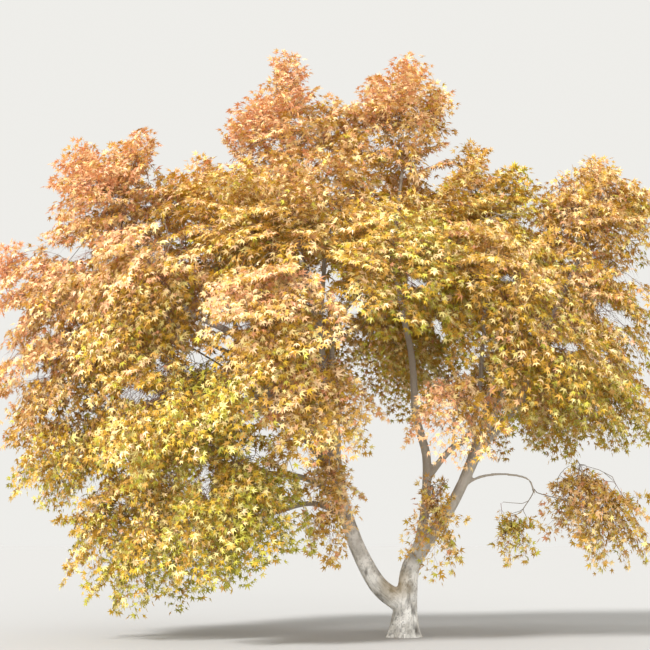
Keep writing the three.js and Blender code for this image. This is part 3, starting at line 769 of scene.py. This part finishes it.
# The stem stands on the tip of its bough and turns to the mass's middle.
def makeStem(mass, masses):
    bough = limbs[mass["on"]]
    tip, heading, tipRadius = bough["line"][-1], bough["headings"][-1], bough["radii"][-1]
    neighbours = [other for other in masses if other is not mass and other["on"] == mass["on"]]
    side = np.zeros(3)
    if neighbours:
        side = mass["middle"] - neighbours[0]["middle"]
        side = unit(side - heading * side.dot(heading)) * tipRadius * growth["stemApart"]
    start = tip + side
    elbow = start + heading * growth["stemElbow"] * tipRadius
    end = elbow + (mass["middle"] - elbow) * growth["stemShare"]
    thickness = growth["sharedThickness"] if neighbours else growth["stemThickness"]
    line = pointsAt(smoothLine(np.array([start, elbow, end])), np.linspace(0, 1, growth["stemSteps"]))
    return {"line": line, "radius": tipRadius * thickness, "end": end}


# Evenly spread points: each is the loneliest of a few, so a longer list starts with the same ones.
def sprayPoints(mass, count, random):
    taken = [mass["stem"]["end"]]
    while len(taken) <= count:
        lonely, lonelyGap = None, -1
        for _ in range(growth["candidates"]):
            while True:
                off = np.array([2 * random() - 1, 2 * random() - 1, 2 * random() - 1])
                if norm(off) > 1:
                    continue
                place = off * growth["sprayReach"] * mass["reach"] + mass["middle"]
                if inSpace(mass, place) and inLeaf(mass, place):
                    break
            gap = norm(np.array(taken) - place, axis=1).min()
            if gap > lonelyGap:
                lonely, lonelyGap = place, gap
        taken.append(lonely)
    return taken[1:]


# Tubes and leaves are gathered as arrays, and joined at the end.
class Gathered:
    def __init__(self):
        self.points, self.faces, self.tints, self.count = [], [], [], 0

    def add(self, points, faces, tint):
        self.points.append(points)
        self.faces.append(faces + self.count)
        self.tints.append(np.broadcast_to(tint, len(faces)))
        self.count += len(points)


twigSide = (0.31, 0.17, 1.0)  # a direction that few twigs have
twigTurns = math.pi * np.array([3, 7, 11]) / 6
twigSides = ((0, 1), (1, 2), (2, 0))


# A thin twig with three sides that tapers along its line to a point.
def addTwig(gathered, line, radii, tint):
    rings = line[:-1]
    headings = headingsOf(line)[:-1]
    side = unit(np.cross(headings, twigSide))
    up = np.cross(headings, side)
    spokes = side[:, None] * np.cos(twigTurns)[:, None] + up[:, None] * np.sin(twigTurns)[:, None]
    points = (rings[:, None] + spokes * np.asarray(radii)[:, None, None]).reshape(-1, 3)
    faces = [(0, 2, 1)]
    for ring in range(0, len(points) - 3, 3):
        for a, b in twigSides:
            faces += [(ring + a, ring + b, ring + b + 3), (ring + a, ring + b + 3, ring + a + 3)]
    last = len(points) - 3
    faces += [(last + a, last + b, last + 3) for a, b in twigSides]
    gathered.add(np.vstack([points, line[-1:]]), np.array(faces), tint)


# One spray laid flat: X along it, Y across, for a length of 1. A longer one has more twigs and
# more leaves, which are places and headings.
def layOutSpray(seed, sprayLength):
    random = np.random.default_rng(seed)
    twigs, places, headings = [], [], []

    def drawn(kind):
        return random.uniform(*spray["scatter"][kind])

    def leafAt(place, turn, lift):
        places.append(place)
        headings.append((math.cos(turn), math.sin(turn), lift))

    count = max(spray["fewestNodes"], round(sprayLength / spray["nodeEvery"]))
    atFoot, lessByTip = spray["turnByNode"]
    fromFoot, pastTip = spray["pairsFrom"]
    for node in np.linspace(*spray["nodes"], count):
        sideLength = spray["sideLength"] * math.sqrt(1 - node)
        sideLength *= 1 - math.exp(-node / spray["footShare"])
        for side in (1, -1):
            angle = spray["sideAngle"] * drawn("turn") * side * (atFoot - lessByTip * node)
            lift = drawn("lift")
            heading = np.array([math.cos(angle), math.sin(angle), lift])
            start = np.array([node + drawn("node"), 0, 0])
            length = sideLength * drawn("length")
            end = start + heading * length
            twigs.append((start, end))
            leafAt(end, angle, lift)
            pairs = int(length * sprayLength / spray["pairEvery"])
            for pair in range(pairs):
                share = (pair + fromFoot) / (pairs + pastTip)
                for out in (1, -1):
                    turn = angle + out * drawn("leafTurn")
                    leafAt(start + heading * length * share, turn, drawn("leafLift"))
    for turn in spray["tipTurns"]:
        leafAt((1, 0, 0), turn, 0)
    return {"twigs": np.array(twigs), "places": np.array(places), "headings": np.array(headings)}


def leafOutline():
    lobes = [(math.radians(turn), reach, -leaf["cup"] * reach) for turn, reach in leaf["lobes"]]
    notches = [(math.radians(turn), reach, leaf["notchRise"]) for turn, reach in leaf["notches"]]
    right = [lobes[2], notches[1], lobes[1], notches[0]]
    rim = [(-turn, reach, lift) for turn, reach, lift in right] + [lobes[0]]
    rim += [(turn, reach, lift) for turn, reach, lift in reversed(right)]
    points = [(0, 0, 0)] + [(r * math.cos(t), r * math.sin(t), lift) for t, r, lift in rim]
    faces = [(0, i, i + 1) for i in range(1, len(points) - 1)]
    return np.array(points), np.array(faces)


leafPoints, leafFaces = leafOutline()


# Sets leaves at places with their own headings, normals and sizes, each on its thin stalk.
def addLeaves(gathered, places, headings, normals, sizes, tints):
    along = unit(headings)
    normals = unit(normals - along * np.sum(normals * along, axis=1, keepdims=True))
    across = np.cross(normals, along)
    bases = places + along * leaf["stalk"]
    count, corners = len(places), len(leafPoints)
    axes = np.stack([along, across, normals], axis=1) * sizes[:, None, None]
    blades = bases[:, None] + np.einsum("ck,nkd->ncd", leafPoints, axes)
    half = across * leaf["stalkRadius"]
    stalks = np.stack([places + half, places - half], axis=1)
    points = np.concatenate([blades, stalks], axis=1).reshape(-1, 3)
    faces = np.vstack([leafFaces, [(corners, corners + 1, 0)]])
    step = corners + 2
    allFaces = (faces[None] + (np.arange(count) * step)[:, None, None]).reshape(-1, 3)
    gathered.add(points, allFaces, np.repeat(tints, len(faces)))


# Autumn tints from the shaded skirt to the sunlit tips, each a leaf's own plain colour.
leafTints = {
    "olive_green": "#aca53c",
    "yellow_green": "#cdc44c",
    "yellow": "#efe08e",
    "gold": "#cdaa34",
    "mustard": "#be9230",
    "amber": "#dfb058",
    "apricot": "#f7dc98",
    "peach": "#f9d8a6",
    "salmon": "#f1c08c",
    "coral": "#e5a77a",
}
tintAim = {"olive": 2.0, "gold": 3.4, "amber": 5.0, "coral": 6.45}
# The side of a mass that faces the key light (sunward) is tinted paler and redder, and the far side
# greener and darker: partly real sun and shade leaves, partly painted light and painted shade.
tintSpread = {"outer": 1.2, "sunSideRedAndPaintedLight": 1.9, "patch": 1.5, "spray": 0.9, "leaf": 1.8}
tintMiddle = 0.65  # of a mass's reach, where its tint is the one aimed at
tintPatches = {"scale": 1.1, "shift": (3, 7, 1)}
sunward = np.array([-0.6, -0.35, 0.72])


# The tint of a spray: redder far out and yellower and greener inside. Towards the key light it is redder
# and paler, and away from it, below, greener and darker: partly the real colour of sun and shade leaves,
# partly painted light and painted shade.
def tintOf(mass, place, draw):
    off = offIn(mass, place)
    patch = noise.noise(Vector(place) * tintPatches["scale"] + Vector(tintPatches["shift"]))
    tint = tintAim[mass["tint"]] + tintSpread["outer"] * (norm(off) - tintMiddle)
    # painted light and shade, in part: paler towards the key light, darker away from it
    tint += tintSpread["sunSideRedAndPaintedLight"] * off.dot(sunward) + tintSpread["patch"] * patch
    return tint + tintSpread["spray"] * (2 * draw() - 1)


# How buried a place is among the masses: each that it is in or near adds to it.
def buried(place, masses):
    offs = [norm(offIn(mass, place)) for mass in masses]
    return sum(max(0.0, growth["buriedFrom"] - off) for off in offs)


# Where the camera sees a place, as X and Z on the trunk's plane.
def seenAt(places):
    eyePlace = np.array(camera["place"])
    scale = eyePlace[1] / (eyePlace[1] - places[..., 1:2])
    return (eyePlace + (places - eyePlace) * scale)[..., [0, 2]]


# Makes a test for the places that lie in a gap, or in front of a bough that shows.
def gapFinder():
    rows = [((x0 * mm, z0 * mm), (x1 * mm, z1 * mm), reach * mm, math.inf)
            for x0, z0, x1, z1, reach in gaps["through"]]
    for name, (first, last) in gaps["shown"].items():
        line = pointsAt(limbs[name]["line"], np.linspace(first, last, gaps["boughSteps"] + 1))
        seen = seenAt(line)
        for start, end, depth in zip(seen, seen[1:], line[1:, 1]):
            rows.append((start, end, gaps["besideBough"], depth))
    starts, ends, reaches, depths = [np.array(column) for column in zip(*rows)]
    along = ends - starts
    squares = np.sum(along ** 2, axis=1)

    def inGap(places, ragged):
        off = seenAt(places)[:, None] - starts
        share = np.clip(np.sum(off * along, axis=2) / squares, 0, 1)
        apart = norm(off - share[..., None] * along, axis=2)
        return np.any((apart < reaches * ragged[:, None]) & (places[:, 1:2] < depths), axis=1)

    return inGap


# The direction of a spray: part way out of its mass and the crown, drooping, with a scatter.
def sprayDirection(mass, place, random):
    along = offIn(mass, place) + mass["outward"] * random()
    along[0] += growth["scatter"] * (random() - 0.5)
    along[1] += growth["scatter"] * (random() - 0.5)
    along[2] -= growth["droop"] * (1 - mass["lift"]) + growth["scatter"] * (random() - 0.5)
    return unit(along)


def fitSpray(mass, place, random):
    first = int(random() * 2)  # the longest, or the next
    for length in spray["lengths"][first:]:
        for _ in range(growth["fitTries"]):
            along = sprayDirection(mass, place, random)
            foot = place - along * spray["middle"] * length
            end = foot + along * length
            ends = np.array([foot, end - along * spray["overTip"]])
            belowPeaks = end[2] < crownTop(end) + spray["overTip"]
            if belowPeaks and inSpace(mass, ends, -growth["wallSlack"]).all():
                return foot, along, length
    return None


def nearestLength(wanted):
    return min(spray["lengths"], key=lambda length: abs(length - wanted))


# The first sprays of a mass point out of the crown and touch the mass's limits.
def leadSprays(mass):
    for tilt in growth["leadTilts"]:
        along = unit(mass["outward"] + np.array([0, 0, tilt]))
        toLimit = growth["leadReach"] / norm(along / mass["reach"])
        length = nearestLength(growth["leadLength"] * toLimit)
        yield mass["middle"] + along * (toLimit - length), along, length


def straySprays(mass):
    for tip in strays.get(mass["name"], []):
        tip = np.array(tip) * mm
        along = unit(tip - mass["middle"])
        length = nearestLength(norm(tip - mass["middle"]))
        yield tip - along * length, along, length


# Sprays that stand up to the peaks along the top, each peak's on the mass that is nearest to it.
def peakSprays(mass, masses, random):
    topmost = [other for other in masses if abs(other["middle"][1]) < peaks["nearMiddle"]]
    for x, z, _ in peaks["tips"]:
        tip = np.array([x, 0, z]) * mm
        nearest = min(topmost, key=lambda one: norm(offIn(one, tip)))
        if nearest is not mass:
            continue
        for lean in peaks["leans"]:
            along = unit(np.array([lean, peaks["depthLean"] * (random() - 0.5), 1.0]))
            length = spray["lengths"][1 + int(random() * 2)]
            back = mass["middle"][1] + peaks["behind"] * (random() - 0.5)
            top = tip + (lean * peaks["leanShift"], back, 0)
            top[2] += spray["sag"] * length - peaks["lower"] * abs(lean)
            yield top - along * length, along, length


# A twig bends from the socket that it starts at round to the spray's own direction.
def bentTwig(start, heading, foot, along):
    reach = norm(foot - start)
    first = start + heading * reach * growth["bend"]
    second = foot - along * reach * growth["bend"]
    second[2] = min(second[2], max(start[2], foot[2]) + growth["mostArch"])
    count, end = growth["bendSteps"]
    t = np.linspace(0, end, count)[:, None]
    return ((1 - t) ** 3 * start + 3 * (1 - t) ** 2 * t * first
            + 3 * (1 - t) * t ** 2 * second + t ** 3 * foot)


def pickSocket(sockets, foot, along):
    places = np.array([socket[0] for socket in sockets])
    off = foot - places
    apart = norm(off, axis=1)
    sharp = (off @ along) / np.maximum(apart, 1e-6) < growth["sharpestTurn"]
    return sockets[int(np.argmin(apart + growth["sharpCost"] * sharp))]


def growMass(mass, seed, masses, isFree):
    twigs, stem = mass["twigs"], mass["stem"]
    random = seededRandom(seed)
    scatter = np.random.default_rng(seed)
    taper = np.linspace(0, 1, growth["stemSteps"]) * (1 - growth["twigThinning"])
    stemRadii = stem["radius"] * (1 - taper)
    addTwig(twigs, stem["line"], stemRadii[:-1] * growth["stemSwell"], 0)
    stemHeading = unit(stem["line"][-1] - stem["line"][0])
    sockets = [(pointsAt(stem["line"], share), stem["radius"] * growth["branchThinning"], stemHeading)
               for share in growth["stemSockets"]]
    room = 4 / 3 * math.pi * np.prod(mass["reach"])
    points = sprayPoints(mass, round(room / growth["sprayRoom"]), random)
    points.sort(key=lambda place: norm(place - stem["end"]))
    fitted = [*leadSprays(mass), *straySprays(mass), *peakSprays(mass, masses, random)]
    fitted += filter(None, (fitSpray(mass, place, random) for place in points))
    for foot, along, length in fitted:
        depth = buried(foot + along * length * spray["middle"], masses)
        if depth < growth["bareInside"]:
            shade = smoothStep(*growth["shaded"], depth)
            if not addSpray(mass, foot, along, length, shade, scatter, random, isFree):
                continue
        start, radius, heading = pickSocket(sockets, foot, along)
        radius = max(growth["leastTwig"], radius)
        line = bentTwig(start, heading, foot, along)
        addTwig(twigs, line, np.linspace(radius, spray["twigRadius"], len(line) - 1), 0)
        for share in growth["twigSockets"]:
            place = pointsAt(line, share)
            sockets.append((place, radius * growth["branchThinning"], unit(foot - start)))


# Adds a spray's side twigs and leaves, and tells whether it kept enough leaves to be there.
def addSpray(mass, foot, along, length, shade, scatter, random, isFree):
    leaves, twigs = mass["leaves"], mass["twigs"]
    layout = layouts[length][scatter.integers(spray["variants"])]
    level = unit(np.array([-along[1], along[0], 0.0]))
    roll = growth["mostRoll"] * (2 * random() - 1)
    across = level * math.cos(roll) + np.cross(along, level) * math.sin(roll)
    axes = np.stack([along, across, np.cross(along, across)])

    def settle(flat):
        places = foot + flat @ axes * length
        places[..., 2] -= spray["sag"] * length * flat[..., 0] ** 2
        places[..., 2] -= spray["sideSag"] * length * flat[..., 1] ** 2
        return places

    places = settle(layout["places"])
    kept = np.all((places > cadBox[0]) & (places < cadBox[1]), axis=1) & isFree(places, scatter)
    if np.mean(kept) < leaf["leastShare"]:
        return False
    steps = spray["twigSteps"]
    axis = settle(np.linspace(0, 1, steps)[:, None] * (1, 0, 0))
    addTwig(twigs, axis, np.linspace(spray["twigRadius"], spray["twigTip"], steps - 1), 1)
    for start, end in layout["twigs"]:
        addTwig(twigs, settle(np.stack([start, end])), [spray["sideRadius"]], 1)
    kept &= scatter.random(len(places)) > leaf["shadedOut"] * shade
    places = places[kept]
    headings = layout["headings"][kept] @ axes
    count = len(places)
    headings[:, 2] -= leaf["droop"] * scatter.uniform(*leaf["droopScatter"], count)
    normals = np.array([0, 0, leaf["faceUp"]]) + leaf["faceOut"] * mass["outward"]
    normals = normals + leaf["tumble"] * scatter.normal(size=(count, 3))
    sizes = scatter.uniform(*leaf["size"], count) * (1 + leaf["shadeGrowth"] * shade)
    tint = tintOf(mass, foot + along * length / 2, random)
    tints = np.round(tint + tintSpread["leaf"] * scatter.normal(size=count)).astype(int)
    addLeaves(leaves, places, headings, normals, sizes, np.clip(tints, 0, len(leafTints) - 1))
    return True


# Makes a test for the places that are clear of every limb's bark and out of the gaps.
def freePlaces():
    inGap = gapFinder()
    tree = treeOf([point for limb in limbs.values() for point in limb["line"]])
    radii = [radius for limb in limbs.values() for radius in limb["radii"]]

    def isFree(places, scatter):
        found = [tree.find(place) for place in places]
        clear = np.array([apart > radii[i] + leaf["clearance"] for _, i, apart in found], bool)
        return clear & ~inGap(places, scatter.uniform(*gaps["ragged"], len(places)))

    return isFree


# Joins what some masses have gathered of one kind into one mesh piece.
def makePiece(name, batch, kind, materials):
    whole = Gathered()
    for mass in batch:
        part = mass[kind]
        whole.add(np.vstack(part.points), np.vstack(part.faces), np.concatenate(part.tints))
    faces = np.vstack(whole.faces)
    replaced = [mass["name"] for mass in batch]
    mesh = bpy.data.meshes.new(name)
    mesh.from_pydata(np.vstack(whole.points), [], faces.tolist())
    for material in materials:
        mesh.materials.append(material)
    mesh.polygons.foreach_set("material_index", np.concatenate(whole.tints).astype(np.int32))
    mesh.update()
    piece = bpy.data.objects.new(name, mesh)
    bpy.context.scene.collection.objects.link(piece)
    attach(piece, "root")
    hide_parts(*replaced)
    print(name + ":", len(faces), "triangles for", len(replaced), "masses")


# A maple leaf in autumn: thin, smooth and slightly waxy, so it has a soft satin sheen.
leafFinish = {"roughness": 0.32, "specular": 0.42}
leafMaterials = [newMaterial(f"{name}_maple_leaf", hexColour, **leafFinish)
                 for name, hexColour in leafTints.items()]

# Young maple wood: grey-brown twigs that turn red-brown towards the leaves, matt.
twigFinishes = {"grey_maple_twig": ("#8b8073", 0.85), "red_brown_maple_twig": ("#83594a", 0.7)}
twigMaterials = [newMaterial(name, *finish) for name, finish in twigFinishes.items()]

layouts = {}
for length in spray["lengths"]:
    layouts[length] = [layOutSpray(seed, length) for seed in range(spray["variants"])]
masses = makeMasses()
shareRoom(masses)
for mass in masses:
    mass["stem"] = makeStem(mass, masses)
isFree = freePlaces()
for seed, mass in enumerate(masses, 1):
    mass["leaves"], mass["twigs"] = Gathered(), Gathered()
    growMass(mass, seed, masses, isFree)
print("masses grown:", len(masses))

mostTriangles = 190000  # to a piece


# Deals masses out, in order, into pieces under the limit of triangles.
def makePieces(name, wanted, kind, materials):
    batches, held = [[]], 0
    for mass in wanted:
        triangles = sum(len(faces) for faces in mass[kind].faces)
        if held + triangles > mostTriangles:
            batches.append([])
            held = 0
        batches[-1].append(mass)
        held += triangles
    for number, batch in enumerate(batches, 1):
        makePiece(f"{name}_{number}", batch, kind, materials)


for tint in tintAim:
    wanted = [mass for mass in masses if mass["tint"] == tint]
    makePieces(f"{tint}_leaf_sprays", wanted, "leaves", leafMaterials)
makePieces("twigs", masses, "twigs", twigMaterials)


# Stage: a pale level floor under a pale sky, and soft light from the front left.

stage = {
    "floorReach": 300,
    "floorCorners": 96,
    "floor": "#b2b1af",
    "floorRoughness": 0.9,
    "sky": "#f4f3ef",
    "skyStrength": 0.95,
    "keyFrom": (-11, -10, 12),
    "keySpread": 14,  # degrees across, as a large soft box far away gives
    "keyStrength": 4.6,
    "fillFrom": (2, -12, 3.5),  # low, so that it reaches the trunk under the crown
    "fillSpread": 30,
    "fillStrength": 0.75,
}

deselectAll()
bpy.ops.mesh.primitive_circle_add(vertices=stage["floorCorners"], radius=stage["floorReach"],
                                  fill_type="NGON")
floor = bpy.context.object
floor.name = "floor"
floor.data.materials.append(newMaterial("matt_studio_floor", stage["floor"], stage["floorRoughness"]))
floor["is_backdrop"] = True

world = bpy.data.worlds.new("studio")
bpy.context.scene.world = world
world.use_nodes = True
sky = world.node_tree.nodes["Background"].inputs
sky["Color"].default_value = toLinear(stage["sky"])
sky["Strength"].default_value = stage["skyStrength"]

for kind in ("key", "fill"):
    bpy.ops.object.light_add(type="SUN", location=stage[kind + "From"])
    lamp = bpy.context.object
    lamp.name = kind + "_light"
    lamp.data.angle = math.radians(stage[kind + "Spread"])
    lamp.data.energy = stage[kind + "Strength"]
    lamp.rotation_euler = (-Vector(stage[kind + "From"])).to_track_quat("-Z", "Y").to_euler()
bpy.context.scene.view_settings.view_transform = "Standard"

bpy.context.view_layer.update()
corners = [list(corner) for corner in (*cadBox, *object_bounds())]
print("scene done")
